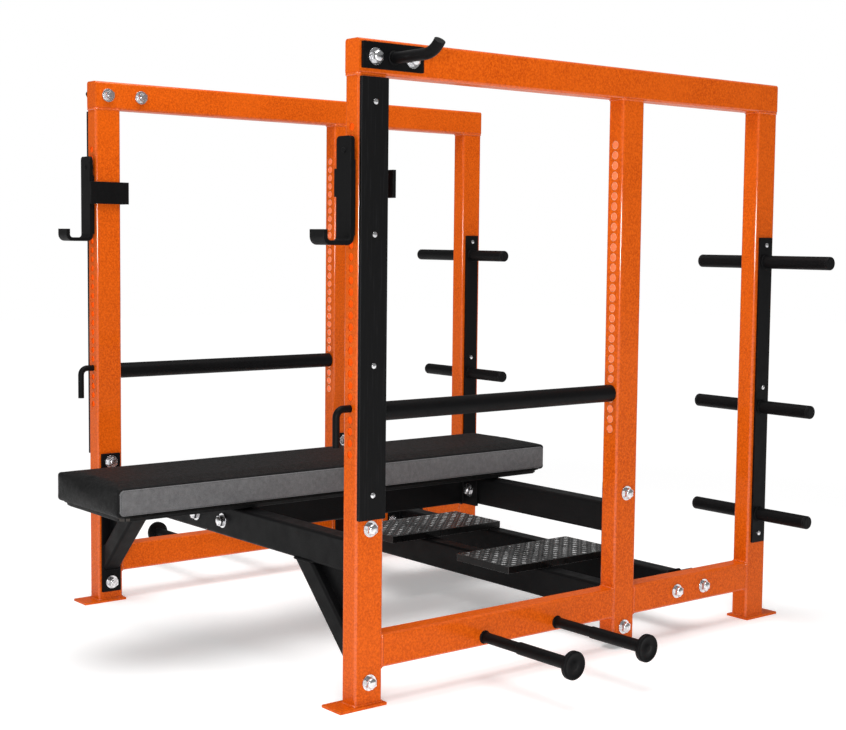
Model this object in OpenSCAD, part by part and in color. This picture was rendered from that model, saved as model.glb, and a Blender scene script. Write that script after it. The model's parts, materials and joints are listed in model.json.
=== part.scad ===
// Olympic bench press station: two welded side frames joined by bolted cross frames,
// a long bench pad, bar hooks, pin-and-pipe safeties, storage horns and spotter treads.
// X runs across the bench, Y from the front uprights to the rear, Z up. Millimetres.
// Inside the modules Y is counted from the front face of the front uprights; to_frame()
// then moves every node so that the origin is under the middle of the whole machine.

/* [Side frames] */
// Width across the outer faces of the two side frames
frame_w = 1260; // [1200:10:1300]
// Overall height
frame_h = 1440; // [1380:10:1500]
// Length from the front face to the rear face of a side frame
frame_l = 1387; // [1350:1:1450]
// Front face of the middle uprights, from the front face of the front ones
middle_y = 797; // [760:1:830]
// Narrow side of the frame tube
tube_w = 50; // [46:1:54]
// Deep side of the frame tube
tube_d = 75; // [72:1:78]
// Wall of the frame tube
tube_wall = 3; // [2:0.5:4]
// Outer corner radius of the frame tube
tube_r = 7; // [5:1:10]
// Top of the bottom rails
rail_top = 156; // [150:1:170]
// Ground clearance of the middle uprights
middle_gap = 20; // [15:1:30]

/* [Floor plates] */
// Thickness of a floor plate
foot_t = 6; // [5:1:10]
// Width of a floor plate
foot_w = 70; // [64:1:80]
// How far a floor plate runs past its upright, on the long side
foot_long = 45; // [35:1:60]
// How far it runs past its upright on the short side
foot_short = 5; // [2:1:10]

/* [Hole rows] */
// Number of adjustment holes in a row
hole_n = 29; // [27:1:29]
// Distance between holes
hole_pitch = 25; // [25:0.5:25.5]
// Height of the lowest hole
hole_z0 = 555; // [545:1:560]
// Diameter of an adjustment hole
hole_d = 17; // [17:0.5:18]
// Outer diameter of the bright bushes in the middle uprights
bush_d = 20; // [19.5:0.5:21]
// Length of a bush
bush_l = 18; // [12:1:25]

/* [Bench] */
// Width of the bench pad
pad_w = 320; // [290:5:330]
// Height of the pad's top
pad_top = 452; // [440:1:460]
// How far the pad's front end reaches past the front uprights
pad_front = 315; // [290:5:330]
// Length of the pad
pad_l = 1310; // [1250:5:1320]
// Thickness of the upholstered cushion
pad_t = 71; // [65:1:75]
// Thickness of the plywood board under the cushion
board_t = 9; // [9:1:12]
// How far the board's edge is set in
board_inset = 12; // [8:1:20]
// Thickness of the straps under the board
strap_t = 6; // [4:1:8]
// Underside of the upper cross beams
beam_z = 291; // [285:1:295]
// Width of the lengthwise bench beam
bench_beam_w = 75; // [60:1:80]
// Height of the lengthwise bench beam
bench_beam_h = 80; // [75:1:80]
// Length of a strap under the board, across the bench
strap_l = 240; // [200:5:280]
// Width of such a strap
strap_w = 44; // [40:1:50]
// Corner radius of the pad and its board, seen from above
pad_r = 18; // [10:1:30]
// Distance of the pad's screws from the middle
pad_screw_x = 90; // [60:5:100]
// Diameter of the access holes below the pad screws, in the cross beams
pad_access_d = 18; // [16:1:22]
// Width of the bench beam's end plates
bench_plate_w = 190; // [180:5:220]
// Distance of the bench beam's bolts from the middle
bench_bolt_x = 63; // [55:1:75]

/* [Cross frames] */
// Thickness of the plates that bolt to the side frames
plate_t = 6; // [5:1:8]
// Width of the end plates on the uprights
end_plate_w = 56; // [50:1:60]
// Lower and upper edge of those end plates
end_plate_z = [28, 417]; // [20:1:430]
// Side of the square knee brace tube
brace_w = 50; // [40:1:50]
// Middle of the rear lower beam
rear_beam_y = 1082; // [1060:1:1100]
// Distance between the two bolts at each end of the rear lower beam
rear_bolt_pitch = 104; // [100:1:110]
// Height of that beam's end plates
rear_plate_h = 71; // [60:1:75]
// Heights of the bolts through the front and middle uprights
bolt_z = [55, 394]; // [40:1:400]
// Where the middle line of a knee brace meets its end plate
brace_foot_z = 126; // [120:1:150]
// How far the web behind a knee brace sinks into it
web_sink = 1; // [0.5:0.5:2]

/* [Treads] */
// Inner and outer edge of a tread
tread_x = [142, 350]; // [100:1:400]
// Front and rear edge of a tread
tread_y = [696, 1104]; // [650:1:1150]
// Sheet thickness of a tread
tread_t = 4; // [3:0.5:5]
// Top of a tread
tread_top = 175; // [170:1:180]

/* [Bar hooks] */
// Hole that carries the hook's pin, counted from the lowest
hook_hole = 26; // [24:1:27]
// Thickness of the hook's bar stock
hook_t = 10; // [8:1:12]
// Gap between the hook and the front of the upright
hook_gap = 10; // [8:1:12]
// Height of the hook's back above its pin
hook_up = 30; // [25:1:35]
// Depth from the pin to the underside of the hook's arm
hook_down = 200; // [190:1:210]
// Clear depth of the cradle, front to back
cradle_l = 58; // [50:1:65]
// Height of the lip above the arm's underside
lip_h = 33; // [28:1:40]
// Inner radius of the hook's bends
hook_r = 8; // [6:1:10]
// Height of the side strap
strap_h = 60; // [55:1:65]
// Distance from the pin down to the top of the side strap
strap_drop = 38; // [35:1:45]
// Gap behind the upright, before the hook's rear lip
rear_gap = 11; // [8:1:15]
// How far the rear lip reaches past the frame's outer face
rear_lip_over = 8; // [5:1:12]
// Thickness of the side strap and the rear lip
side_t = 8; // [6:1:10]
// Gap between the side strap and the upright
side_gap = 2; // [1:0.5:4]
// Length of the hook's pin behind its back
hook_pin_l = 45; // [30:1:60]
// Corner radius of the hook's back and lip
hook_edge_r = 10; // [5:1:15]
// Thickness of the pin's riveted end
pin_head_t = 2; // [1:0.5:4]
// Width of the plastic pad behind the hook
hook_pad_w = 30; // [25:1:45]
// Height of that pad
hook_pad_h = 160; // [120:5:170]
// Distance from the pin down to the pad's middle
hook_pad_drop = 100; // [90:5:110]

/* [Safeties] */
// Hole that carries the rod, counted from the lowest
rod_hole = 4; // [4:1:10]
// Diameter of the rod and its handle
rod_d = 16; // [15:0.5:16]
// Radius of the rod's bend, to its middle line
rod_bend = 18; // [16:1:22]
// Distance from the front face to the start of the bend
rod_reach = 18; // [15:1:25]
// Length of the handle below the rod's middle line
handle_l = 82; // [75:1:95]
// How deep the rod goes into the middle upright
rod_seat = 18; // [14:1:25]
// Outer diameter of the safety pipe
pipe_d = 42.4; // [40:0.1:44]
// Wall of the safety pipe
pipe_wall = 2.6; // [2.3:0.1:3.2]
// Clearance between the pipe's ends and the uprights
pipe_gap = 2; // [1:0.5:4]

/* [Storage horns] */
// Heights of the three horns
horn_z = [287, 579, 969]; // [250:1:1000]
// Reach of a horn past its plate
horn_l = 162; // [150:2:200]
// Reach of the outer top horn past its plate
long_horn_l = 210; // [200:2:240]
// Diameter of a horn
horn_d = 35; // [32:1:38]
// Wall of a horn
horn_wall = 3; // [2:0.5:4]
// Lower and upper edge of the horn plates
horn_plate_z = [210, 1034]; // [180:1:1060]
// Width of the horn plates
horn_plate_w = 50; // [45:1:55]
// Heights of the horn plates' screws
horn_screw_z = [235, 632, 1014]; // [220:1:1030]
// Length of a horn's cap
horn_cap_t = 8; // [6:1:12]
// Edge radius of a horn's cap
horn_cap_r = 4; // [2:1:6]

/* [Top hooks and band pegs] */
// Lengthwise size of the top hook's plate
top_plate_l = 164; // [150:1:180]
// Height of the top hook's plate
top_plate_h = 56; // [50:1:60]
// Middle height of the top hook's plate
top_plate_z = 1405; // [1400:1:1410]
// Distance between the top hook's bolts
top_bolt_pitch = 100; // [95:1:105]
// Diameter of the top hook's bar
top_bar_d = 25; // [22:1:28]
// Straight length of that bar before its bend
top_bar_l = 106; // [90:1:115]
// Radius of its upturned end, to the middle line
top_bar_r = 60; // [40:1:70]
// Angle of its upturned end
top_bar_turn = 52.5; // [45:7.5:60]
// Distances of the band pegs from the front face
peg_y = [372, 603]; // [300:1:700]
// Height of the band pegs
peg_z = 102; // [100:1:118]
// Reach of a band peg
peg_l = 296; // [270:5:300]
// Diameter of a band peg
peg_d = 25; // [22:1:28]
// Diameter of its sleeve
peg_sleeve_d = 29; // [26:1:32]
// Distance from the rail to the sleeve
peg_sleeve_x = 120; // [100:5:140]
// Diameter of its end disc
peg_disc_d = 64; // [55:1:70]
// Thickness of its end disc
peg_disc_t = 9; // [6:1:12]

/* [Wear strips] */
// Lower and upper edge of the wear strips
strip_z = [414, 1360]; // [410:1:1362]
// Width of a wear strip
strip_w = 71; // [65:1:75]
// Thickness of a wear strip
strip_t = 8; // [5:1:10]
// Height of the lowest screw above the strip's lower edge
strip_screw_up = 54; // [40:1:60]
// Distance between the strip's screws
strip_screw_pitch = 280; // [270:1:290]

/* [Fasteners] */
// Diameter of the large bolts
bolt_d = 16; // [14:1:16]
// Clearance hole for the large bolts
bolt_hole_d = 17; // [17:0.5:18]
// Width across the flats of a large bolt head
bolt_af = 24; // [22:1:26]
// Thickness of a large bolt head
bolt_head_t = 10; // [8:1:11]
// Diameter of a large washer
washer_d = 36; // [32:1:38]
// Thickness of a large washer
washer_t = 3; // [2:0.5:4]
// Thickness of a large nut
nut_t = 13; // [10:1:15]
// Diameter of the small screws
screw_d = 6; // [5:1:6]
// Diameter of a small screw's head
screw_head_d = 12; // [10:1:14]
// Thickness of a small screw's head
screw_head_t = 4; // [3:1:5]
// Length of a small screw inside the tube
screw_l = 12; // [10:1:16]
// Play of a small screw in its hole
screw_play = 0.4; // [0.2:0.1:0.6]

/* [Hidden] */
$fn = 48;
eps = 0.5;                                     // overshoot of a cutter past a face
joint_gap = 0.1;                               // running clearance between moving parts
outer_x = frame_w / 2;                         // outer face of a side frame
inner_x = outer_x - tube_w;                    // inner face of a side frame
tube_x = outer_x - tube_w / 2;                 // middle of a side frame
top_z = frame_h - tube_d;                      // underside of the top rail
rail_z = rail_top - tube_d / 2;                // middle of the bottom rail
rear_y = frame_l - tube_d;                     // front face of the rear uprights
front_mid = tube_d / 2;                        // middle of the front uprights, along Y
middle_mid = middle_y + tube_d / 2;            // middle of the middle uprights
rear_mid = rear_y + tube_d / 2;                // middle of the rear uprights
machine_end = frame_l + foot_long;             // rearmost point, a floor plate
shift_y = (machine_end - pad_front) / 2;       // middle of the whole machine
plate_x = inner_x - plate_t;                   // inner face of the bolted end plates
beam_half = tube_w / 2;                        // half the depth of a cross beam
beam_top = beam_z + tube_d;                    // top of the upper cross beams
front_beam_y = front_mid;                      // middle of the front cross beam
cap_t = tube_wall;                             // thickness of a top rail cap
bench_bolt_z = beam_z + tube_d / 2;            // height of the bench beam's bolts
bench_y = [front_beam_y + beam_half, middle_mid - beam_half];
hook_z = hole_z0 + hook_hole * hole_pitch;     // height of the hook's pin
hook_back = -hook_gap;                         // rear face of the hook's back
hook_front = hook_back - hook_t;               // front face of the hook's back
hook_in = inner_x - side_gap;                  // inner edge of the hook's back
rod_z = hole_z0 + rod_hole * hole_pitch;       // height of the safety rod
rod_end = middle_y + rod_seat;                 // rear tip of the rod
pipe_bore = pipe_d - 2 * pipe_wall;            // inner diameter of the safety pipe
pipe_z = rod_z - (pipe_bore - rod_d) / 2 + joint_gap;   // the pipe hangs on the rod
screw_hole_d = screw_d + screw_play;           // clearance hole for a small screw
plate_r = 2;                                   // corner radius of flat plates
bolt_tail = 3;                                 // a large bolt's reach past its nut
screw_margin = 1;                              // board left above a pad screw's hole
grip = tube_w + plate_t;                       // every large bolt clamps a tube and a plate
shank_l = grip + 2 * washer_t + nut_t + bolt_tail;
strip_screw_z = [for (i = [0:3]) strip_z[0] + strip_screw_up + i * strip_screw_pitch];
top_bolt_y = [front_mid, front_mid + top_bolt_pitch];
top_bolt_z = frame_h - tube_d / 2;             // height of the top hooks' bolts
rear_bolt_y = [rear_beam_y - rear_bolt_pitch / 2, rear_beam_y + rear_bolt_pitch / 2];
strap_y = [front_beam_y, (bench_y[0] + bench_y[1]) / 2, middle_mid];
orange = [0.93, 0.36, 0.05];
black = [0.10, 0.10, 0.11];
plastic = [0.06, 0.06, 0.07];
steel = [0.75, 0.76, 0.78];
checker = [0.33, 0.33, 0.34];
wood = [0.09, 0.08, 0.07];

// ---- helpers -------------------------------------------------------------------------

// Moves a node from the front-face datum to the machine's own origin
module to_frame() translate([0, -shift_y, 0]) children();

// Draws its children on the right side (+1) or mirrored on the left side (-1)
module on_side(side)
    if (side > 0) children();
    else mirror([1, 0, 0]) children();

// A plain rectangle with round corners, from straight and round pieces only
module round_rect(w, h, r) {
    square([w - 2 * r, h], center = true);
    square([w, h - 2 * r], center = true);
    for (x = [-1, 1], y = [-1, 1])
        translate([x * (w / 2 - r), y * (h / 2 - r)]) circle(r);
}

// Section of a hollow tube
module tube_section(w, h, wall, r)
    difference() {
        round_rect(w, h, r);
        round_rect(w - 2 * wall, h - 2 * wall, max(r - wall, 1));
    }

// Upright tube, its middle line at x, y
module tube_up(x, y, z0, z1, w, d)
    translate([x, y, z0]) linear_extrude(z1 - z0) tube_section(w, d, tube_wall, tube_r);

// Lengthwise tube along Y, its middle line at x, z
module tube_along(x, z, y0, y1, w, h)
    translate([x, y1, z]) rotate([90, 0, 0])
        linear_extrude(y1 - y0) tube_section(w, h, tube_wall, tube_r);

// Cross tube along X, its middle line at y, z
module tube_across(y, z, x0, x1, d, h)
    translate([x0, y, z]) rotate([90, 0, 90])
        linear_extrude(x1 - x0) tube_section(d, h, tube_wall, tube_r);

// Round bar along X from x0, or along Y from y0
module bar_x(x0, y, z, d, l) translate([x0, y, z]) rotate([0, 90, 0]) cylinder(d = d, h = l);
module bar_y(x, y0, z, d, l) translate([x, y0, z]) rotate([-90, 0, 0]) cylinder(d = d, h = l);

// Flat plate normal to X with round corners, its middle at y, z
module plate_x_normal(x0, y, z, t, w, h, r)
    translate([x0, y, z]) rotate([90, 0, 90]) linear_extrude(t) round_rect(w, h, r);

// Row of adjustment holes along Y through an upright
module hole_row(y0, l, d)
    for (i = [0:hole_n - 1]) bar_y(tube_x, y0, hole_z0 + i * hole_pitch, d, l);

// Cutters for the two large bolts of an upright
module upright_bolt_holes(y)
    for (z = bolt_z) bar_x(plate_x - eps, y, z, bolt_hole_d, tube_w + plate_t + 2 * eps);

// ---- side frames ---------------------------------------------------------------------

module front_upright(side)
    color(orange) to_frame() on_side(side) difference() {
        tube_up(tube_x, front_mid, foot_t, top_z, tube_w, tube_d);
        hole_row(-eps, tube_d + 2 * eps, hole_d);
        upright_bolt_holes(front_mid);
        for (z = strip_screw_z)
            bar_x(outer_x - tube_w / 4, front_mid, z, screw_hole_d, tube_w / 4 + eps);
    }

module middle_upright(side)
    color(orange) to_frame() on_side(side) difference() {
        tube_up(tube_x, middle_mid, middle_gap, top_z, tube_w, tube_d);
        hole_row(middle_y - eps, tube_d / 2, bush_d);
        upright_bolt_holes(middle_mid);
    }

module rear_upright(side)
    color(orange) to_frame() on_side(side) difference() {
        tube_up(tube_x, rear_mid, foot_t, top_z, tube_w, tube_d);
        for (z = horn_screw_z) bar_x(inner_x - eps, rear_mid, z, screw_hole_d, tube_w + 2 * eps);
    }

module top_rail(side)
    color(orange) to_frame() on_side(side) difference() {
        tube_along(tube_x, top_bolt_z, cap_t, frame_l - cap_t, tube_w, tube_d);
        for (y = top_bolt_y) bar_x(inner_x - eps, y, top_bolt_z, bolt_hole_d, tube_w + 2 * eps);
    }

module front_bottom_rail(side)
    color(orange) to_frame() on_side(side)
        tube_along(tube_x, rail_z, tube_d, middle_y, tube_w, tube_d);

module rear_bottom_rail(side)
    color(orange) to_frame() on_side(side) difference() {
        tube_along(tube_x, rail_z, middle_y + tube_d, rear_y, tube_w, tube_d);
        for (y = rear_bolt_y) bar_x(inner_x - eps, y, rail_z, bolt_hole_d, tube_w + 2 * eps);
    }

module floor_plates()
    color(orange) to_frame() for (side = [-1, 1]) on_side(side)
        for (y0 = [-foot_long, rear_y - foot_short])
            translate([tube_x - foot_w / 2, y0, 0])
                cube([foot_w, tube_d + foot_long + foot_short, foot_t]);

module top_rail_caps()
    color(orange) to_frame() for (side = [-1, 1]) on_side(side)
        for (y1 = [cap_t, frame_l])
            translate([tube_x, y1, top_bolt_z]) rotate([90, 0, 0])
                linear_extrude(cap_t) round_rect(tube_w, tube_d, tube_r);

module upright_plugs()
    color(plastic) to_frame() for (side = [-1, 1]) on_side(side)
        translate([tube_x, middle_mid, middle_gap - cap_t])
            linear_extrude(cap_t) round_rect(tube_w, tube_d, tube_r);

module hole_bushes()
    color(steel) to_frame() for (side = [-1, 1]) on_side(side) difference() {
        hole_row(middle_y, bush_l, bush_d);
        hole_row(middle_y - eps, bush_l + 2 * eps, hole_d);
    }

module wear_strip(side)
    color(plastic) to_frame() on_side(side) difference() {
        plate_x_normal(outer_x, front_mid, (strip_z[0] + strip_z[1]) / 2,
                       strip_t, strip_w, strip_z[1] - strip_z[0], plate_r);
        for (z = strip_screw_z)
            bar_x(outer_x - eps, front_mid, z, screw_hole_d, strip_t + 2 * eps);
    }

// ---- cross frames and bench ----------------------------------------------------------

// Holes for the two bolts at one end of the bench beam
module bench_bolt_holes(y0, l)
    for (x = [-1, 1]) bar_y(x * bench_bolt_x, y0, bench_bolt_z, bolt_hole_d, l);

// Cutters through a cross beam that let a driver reach the pad screws above it
module pad_screw_access(y)
    for (x = [-1, 1]) translate([x * pad_screw_x, y, beam_z - eps])
        cylinder(d = pad_access_d, h = tube_d + 2 * eps);

module front_cross_beam()
    color(black) to_frame() difference() {
        tube_across(front_beam_y, bench_bolt_z, -plate_x, plate_x, tube_w, tube_d);
        bench_bolt_holes(front_beam_y - beam_half - eps, tube_w + 2 * eps);
        pad_screw_access(front_beam_y);
    }

// End plate with its two bolt holes
module end_plate(y)
    difference() {
        plate_x_normal(plate_x, y, (end_plate_z[0] + end_plate_z[1]) / 2,
                       plate_t, end_plate_w, end_plate_z[1] - end_plate_z[0], plate_r);
        upright_bolt_holes(y);
    }

// Knee brace at 45 degrees, cut flush with the end plate and the beam, and its web
module knee_brace() {
    reach = beam_z - brace_foot_z + brace_w;
    web_low = brace_foot_z + brace_w / sqrt(2) - web_sink;
    intersection() {
        translate([plate_x - reach, front_beam_y - brace_w / 2, brace_foot_z - reach])
            cube([reach, brace_w, beam_z - brace_foot_z + reach]);
        translate([plate_x, front_beam_y, brace_foot_z]) rotate([0, -45, 0])
            translate([0, 0, -reach]) linear_extrude(3 * reach)
                tube_section(brace_w, brace_w, tube_wall, tube_r);
    }
    translate([plate_x, front_beam_y + plate_t / 2, 0]) rotate([90, 0, 0])
        linear_extrude(plate_t) polygon([[0, web_low], [0, beam_z], [web_low - beam_z, beam_z]]);
}

module front_gusset(side)
    color(black) to_frame() on_side(side) {
        end_plate(front_mid);
        knee_brace();
    }

module middle_upper_beam()
    color(black) to_frame() difference() {
        tube_across(middle_mid, bench_bolt_z, -plate_x, plate_x, tube_w, tube_d);
        bench_bolt_holes(middle_mid - beam_half - eps, tube_w + 2 * eps);
        pad_screw_access(middle_mid);
    }

module middle_lower_beam()
    color(black) to_frame()
        tube_across(middle_mid, rail_z, -plate_x, plate_x, tube_w, tube_d);

module middle_end_plates()
    color(black) to_frame() for (side = [-1, 1]) on_side(side) end_plate(middle_mid);

module rear_lower_beam()
    color(black) to_frame() {
        tube_across(rear_beam_y, rail_z, -plate_x, plate_x, tube_w, tube_d);
        for (side = [-1, 1]) on_side(side) difference() {
            plate_x_normal(plate_x, rear_beam_y, rail_z, plate_t,
                           rear_bolt_pitch + washer_d, rear_plate_h, plate_r);
            for (y = rear_bolt_y)
                bar_x(plate_x - eps, y, rail_z, bolt_hole_d, plate_t + 2 * eps);
        }
    }

// Folded checker plate tread with turned-down edges that rest on the lower beams
module tread(side)
    color(checker) to_frame() on_side(side) difference() {
        translate([tread_x[0], tread_y[0], rail_top])
            cube([tread_x[1] - tread_x[0], tread_y[1] - tread_y[0], tread_top - rail_top]);
        translate([tread_x[0] + tread_t, tread_y[0] + tread_t, rail_top - eps])
            cube([tread_x[1] - tread_x[0] - 2 * tread_t, tread_y[1] - tread_y[0] - 2 * tread_t,
                  tread_top - rail_top - tread_t + eps]);
    }

module bench_beam()
    color(black) to_frame() {
        tube_along(0, beam_top - bench_beam_h / 2, bench_y[0] + plate_t, bench_y[1] - plate_t,
                   bench_beam_w, bench_beam_h);
        for (y1 = [bench_y[0] + plate_t, bench_y[1]]) difference() {
            translate([0, y1, beam_top - bench_beam_h / 2]) rotate([90, 0, 0])
                linear_extrude(plate_t) round_rect(bench_plate_w, bench_beam_h, plate_r);
            bench_bolt_holes(y1 - plate_t - eps, plate_t + 2 * eps);
        }
    }

module pad_straps()
    color(black) to_frame() for (y = strap_y) difference() {
        translate([0, y, beam_top]) linear_extrude(strap_t)
            round_rect(strap_l, strap_w, plate_r);
        for (x = [-1, 1]) translate([x * pad_screw_x, y, beam_top - eps])
            cylinder(d = screw_hole_d, h = strap_t + 2 * eps);
    }

module pad_board()
    color(wood) to_frame() difference() {
        translate([0, pad_l / 2 - pad_front, beam_top + strap_t])
            linear_extrude(board_t)
                round_rect(pad_w - 2 * board_inset, pad_l - 2 * board_inset, pad_r);
        for (y = strap_y, x = [-1, 1]) translate([x * pad_screw_x, y, beam_top])
            cylinder(d = screw_hole_d, h = strap_t + board_t - screw_margin);
    }

module bench_pad()
    color(plastic) to_frame()
        translate([0, pad_l / 2 - pad_front, pad_top - pad_t])
            linear_extrude(pad_t) round_rect(pad_w, pad_l, pad_r);

// ---- bar hooks and safeties ----------------------------------------------------------

// Side view of the hook, in Y and Z: back, arm and lip with round bends
module hook_profile() {
    z0 = hook_z - hook_down;
    y_lip = hook_front - cradle_l;
    bend = hook_r + hook_t;
    translate([hook_front, z0 + bend]) square([hook_t, hook_z + hook_up - z0 - bend]);
    translate([y_lip + hook_r, z0]) square([cradle_l - 2 * hook_r, hook_t]);
    translate([y_lip - hook_t, z0 + bend]) square([hook_t, lip_h - bend]);
    for (corner = [[hook_back - bend, 1], [y_lip - hook_t + bend, -1]])
        translate([corner[0], z0 + bend]) intersection() {
            difference() {
                circle(bend);
                circle(hook_r);
            }
            translate([corner[1] > 0 ? 0 : -bend, -bend]) square(bend);
        }
}

module bar_hook(side)
    color(black) to_frame() on_side(side) {
        intersection() {
            translate([hook_in, 0, 0]) rotate([90, 0, 90])
                linear_extrude(outer_x - hook_in) hook_profile();
            translate([(hook_in + outer_x) / 2, hook_back, hook_z - hook_down / 2])
                rotate([90, 0, 0]) linear_extrude(cradle_l + 3 * hook_t)
                    round_rect(outer_x - hook_in, hook_down + 2 * hook_up, hook_edge_r);
        }
        translate([hook_in - side_t, hook_front, hook_z - strap_drop - strap_h])
            cube([side_t, tube_d + rear_gap + side_t - hook_front, strap_h]);
        translate([hook_in - side_t, tube_d + rear_gap, hook_z - strap_drop - strap_h])
            cube([outer_x + rear_lip_over - hook_in + side_t, side_t, strap_h]);
        bar_y(tube_x, hook_back, hook_z, rod_d, hook_pin_l);
        bar_y(tube_x, hook_front - pin_head_t, hook_z, screw_head_d, pin_head_t);
    }

// Plastic pad between the hook's back and the upright
module hook_pad(side)
    color(plastic) to_frame() on_side(side)
        translate([tube_x, -joint_gap, hook_z - hook_pad_drop]) rotate([90, 0, 0])
            linear_extrude(hook_gap - joint_gap) round_rect(hook_pad_w, hook_pad_h, plate_r);

module safety_rod(side)
    color(black) to_frame() on_side(side) {
        bar_y(tube_x, -rod_reach, rod_z, rod_d, rod_end + rod_reach);
        translate([tube_x, -rod_reach, rod_z - rod_bend]) rotate([90, 0, -90])
            rotate_extrude(angle = 90) translate([rod_bend, 0]) circle(d = rod_d);
        translate([tube_x, -rod_reach - rod_bend, rod_z - handle_l])
            cylinder(d = rod_d, h = handle_l - rod_bend);
    }

module safety_pipe(side)
    color(black) to_frame() on_side(side) difference() {
        bar_y(tube_x, tube_d + pipe_gap, pipe_z, pipe_d, middle_y - tube_d - 2 * pipe_gap);
        bar_y(tube_x, tube_d, pipe_z, pipe_bore, middle_y - tube_d);
    }

// ---- top hooks, storage horns and band pegs ------------------------------------------

module top_hook(side)
    color(black) to_frame() on_side(side) {
        plate_y = front_mid + top_bolt_pitch / 2;
        difference() {
            plate_x_normal(outer_x, plate_y, top_plate_z, plate_t, top_plate_l, top_plate_h,
                           plate_r);
            for (y = top_bolt_y)
                bar_x(outer_x - eps, y, top_bolt_z, bolt_hole_d, plate_t + 2 * eps);
        }
        bar_x(outer_x + plate_t, plate_y, top_bolt_z, top_bar_d, top_bar_l);
        translate([outer_x + plate_t + top_bar_l, plate_y, top_bolt_z + top_bar_r])
            rotate([90, 0, 0]) rotate([0, 0, -90]) rotate_extrude(angle = top_bar_turn)
                translate([top_bar_r, 0]) circle(d = top_bar_d);
    }

// Outer and inner horn plate of one side
module horn_plates(side)
    color(black) to_frame() on_side(side) for (x0 = [outer_x, plate_x]) difference() {
        plate_x_normal(x0, rear_mid, (horn_plate_z[0] + horn_plate_z[1]) / 2,
                       plate_t, horn_plate_w, horn_plate_z[1] - horn_plate_z[0], plate_r);
        for (z = horn_screw_z) bar_x(x0 - eps, rear_mid, z, screw_hole_d, plate_t + 2 * eps);
    }

// One hollow horn from x0, running outward (dir = 1) or inward (dir = -1)
module horn(x0, z, l, dir)
    translate([x0, rear_mid, z]) rotate([0, dir * 90, 0]) difference() {
        cylinder(d = horn_d, h = l);
        translate([0, 0, horn_wall]) cylinder(d = horn_d - 2 * horn_wall, h = l);
    }

function outer_horn_l(i) = i == len(horn_z) - 1 ? long_horn_l : horn_l;

module outer_horns(side)
    color(black) to_frame() on_side(side) for (i = [0:len(horn_z) - 1])
        horn(outer_x + plate_t, horn_z[i], outer_horn_l(i) - horn_cap_t, 1);

module inner_horns(side)
    color(black) to_frame() on_side(side) for (z = horn_z)
        horn(plate_x, z, horn_l - horn_cap_t, -1);

// Domed plastic cap on a horn's end
module horn_cap(x0, z, dir)
    translate([x0, rear_mid, z]) rotate([0, dir * 90, 0]) rotate_extrude()
        intersection() {
            union() {
                square([horn_d / 2 - horn_cap_r, horn_cap_t]);
                square([horn_d / 2, horn_cap_t - horn_cap_r]);
                translate([horn_d / 2 - horn_cap_r, horn_cap_t - horn_cap_r]) circle(horn_cap_r);
            }
            square([horn_d, horn_cap_t]);
        }

module horn_caps()
    color(plastic) to_frame() for (side = [-1, 1]) on_side(side)
        for (i = [0:len(horn_z) - 1]) {
            horn_cap(outer_x + plate_t + outer_horn_l(i) - horn_cap_t, horn_z[i], 1);
            horn_cap(plate_x - horn_l + horn_cap_t, horn_z[i], -1);
        }

module band_pegs(side)
    color(black) to_frame() on_side(side) for (y = peg_y) {
        bar_x(outer_x, y, peg_z, peg_d, peg_sleeve_x);
        bar_x(outer_x + peg_sleeve_x, y, peg_z, peg_sleeve_d, peg_l - peg_sleeve_x - peg_disc_t);
        bar_x(outer_x + peg_l - peg_disc_t, y, peg_z, peg_disc_d, peg_disc_t);
    }

// ---- fasteners -----------------------------------------------------------------------

// Hex bolt: the head's seat at the origin, the shank along -Z
module bolt(l) {
    cylinder(d = bolt_af / cos(30), h = bolt_head_t, $fn = 6);
    translate([0, 0, -l]) cylinder(d = bolt_d, h = l + eps);
}

// Places its children at each large bolt of a side frame: the outer ends look along +X
module at_frame_bolts()
    for (side = [-1, 1]) on_side(side) {
        for (y = [front_mid, middle_mid], z = bolt_z)
            translate([outer_x, y, z]) rotate([0, 90, 0]) children();
        for (y = rear_bolt_y)
            translate([outer_x, y, rail_z]) rotate([0, 90, 0]) children();
    }

module at_hook_bolts()
    for (side = [-1, 1], y = top_bolt_y) on_side(side)
        translate([outer_x + plate_t, y, top_bolt_z]) rotate([0, 90, 0]) children();

// The bench beam's bolts: heads to the front, the front pair and the rear pair
module at_bench_bolts()
    for (y = [bench_y[0] - tube_w, bench_y[1] - plate_t], x = [-1, 1])
        translate([x * bench_bolt_x, y, bench_bolt_z]) rotate([90, 0, 0]) children();

module frame_bolts()
    color(steel) to_frame() at_frame_bolts() translate([0, 0, washer_t]) bolt(shank_l);

module hook_bolts()
    color(steel) to_frame() at_hook_bolts() translate([0, 0, washer_t]) bolt(shank_l);

module bench_bolts()
    color(steel) to_frame() at_bench_bolts() translate([0, 0, washer_t]) bolt(shank_l);

// Washers under the head and under the nut
module washer_pair()
    for (z = [0, -grip - washer_t]) translate([0, 0, z]) difference() {
        cylinder(d = washer_d, h = washer_t);
        translate([0, 0, -eps]) cylinder(d = bolt_hole_d, h = washer_t + 2 * eps);
    }

module nut()
    translate([0, 0, -grip - washer_t - nut_t]) difference() {
        cylinder(d = bolt_af / cos(30), h = nut_t, $fn = 6);
        translate([0, 0, -eps]) cylinder(d = bolt_d + joint_gap, h = nut_t + 2 * eps);
    }

module bolt_washers()
    color(steel) to_frame() {
        at_frame_bolts() washer_pair();
        at_hook_bolts() washer_pair();
        at_bench_bolts() washer_pair();
    }

module bolt_nuts()
    color(steel) to_frame() {
        at_frame_bolts() nut();
        at_hook_bolts() nut();
        at_bench_bolts() nut();
    }

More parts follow.
